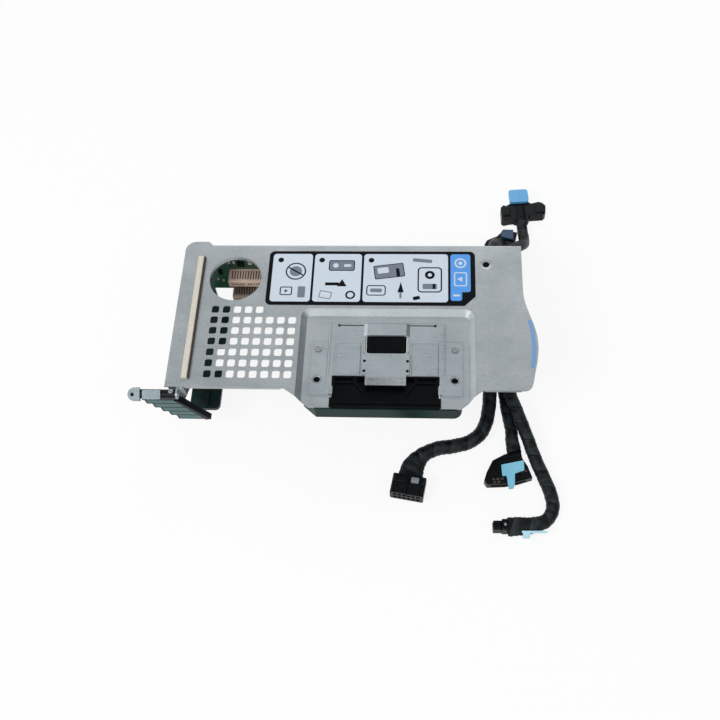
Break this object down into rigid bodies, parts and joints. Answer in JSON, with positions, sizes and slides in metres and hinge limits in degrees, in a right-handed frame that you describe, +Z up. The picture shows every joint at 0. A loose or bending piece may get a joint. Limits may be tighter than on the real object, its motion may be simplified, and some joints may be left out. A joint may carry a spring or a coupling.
{
  "type": "server riser",
  "caption": "Cabled server riser: a folded steel cage with a vertical slot board, card latch and holder, and taped cables ending in plugs.",
  "frame": {"origin": "middle of the base: the centre of the cage's bounding box without its cables, at the level it stands on", "axes": "+X along the cage from the card windows to the cable end, +Y from the card latch side towards the board, +Z up"},
  "size_m": [0.3008, 0.2979, 0.0666],
  "materials": {
    "steel_cover": "bright zinc-plated sheet, fine grain",
    "steel_bracket": "bright zinc-plated sheet",
    "foam": "open-cell foam gasket, pale beige",
    "label_print": "printed film with a dark border",
    "touch_blue": "blue printed touch mark",
    "base_dark": "dark green-black moulding",
    "board_green": "solder-masked circuit board",
    "slot_beige": "beige slot moulding",
    "screw_steel": "plated screw",
    "standoff_brass": "turned brass",
    "chip_black": "moulded chip package",
    "can_silver": "capacitor can",
    "choke_grey": "pressed ferrite",
    "header_black": "moulded connector",
    "holder_steel": "formed and satin finished sheet",
    "holder_black": "black moulding, lightly glossy",
    "holder_pad": "black ribbed moulding",
    "skirt_dark": "dark green-black moulding",
    "latch_black": "satin black moulding",
    "latch_steel": "bright plated plate and clip",
    "cable_black": "black cloth tape wound over wires",
    "plug_black": "black moulded plug",
    "plug_latch": "pale release lever",
    "tab_cyan": "pale blue flexible tab",
    "tab_pale": "very pale blue tab",
    "tab_blue": "blue cap",
    "tab_dark": "dark blue tab"
  },
  "bodies": {
    "cage": {"top_cover": "steel_cover", "foam_strip": "foam", "instruction_label": "label_print", "touch_mark": "touch_blue", "rear_bracket": "steel_bracket", "base_guide": "base_dark", "end_bracket": "steel_bracket", "riser_board": "board_green", "slot_connector_upper": "slot_beige", "slot_connector_lower": "slot_beige", "board_standoffs": "standoff_brass", "board_screws": "screw_steel", "board_chips": "chip_black", "board_capacitors": "can_silver", "board_chokes": "choke_grey", "power_header": "header_black", "front_cable_header": "header_black", "side_cable_header": "header_black", "rear_long_cable_header": "header_black", "rear_short_cable_header": "header_black", "holder_bracket": "holder_steel", "holder_rivets": "screw_steel", "holder_body": "holder_black", "holder_skirt": "skirt_dark", "latch_pin": "screw_steel", "power_cable": "cable_black", "power_plug": "plug_black", "power_plug_latch": "plug_latch", "front_cable": "cable_black", "front_plug": "plug_black", "front_pull_tab": "tab_cyan", "side_cable": "cable_black", "side_plug": "plug_black", "side_pull_tab": "tab_pale", "rear_long_cable": "cable_black", "rear_long_plug": "plug_black", "rear_long_pull_tab": "tab_blue", "rear_short_cable": "cable_black", "rear_short_plug": "plug_black", "rear_short_pull_tab": "tab_dark"},
    "latch": {"latch_lever": "latch_black", "latch_end_plate": "latch_steel", "latch_clip": "latch_steel"},
    "slider": {"holder_slider": "holder_pad"}
  },
  "joints": [
    {"name": "latch_hinge", "type": "hinge", "parent": "cage", "child": "latch", "pos_m": [-0.11555, -0.0591, 0.0594], "axis": [-1, 0, 0], "range_deg": [0, 95]},
    {"name": "pad_slide", "type": "slide", "parent": "cage", "child": "slider", "axis": [0, 1, 0], "range_m": [0, 0.004]}
  ]
}
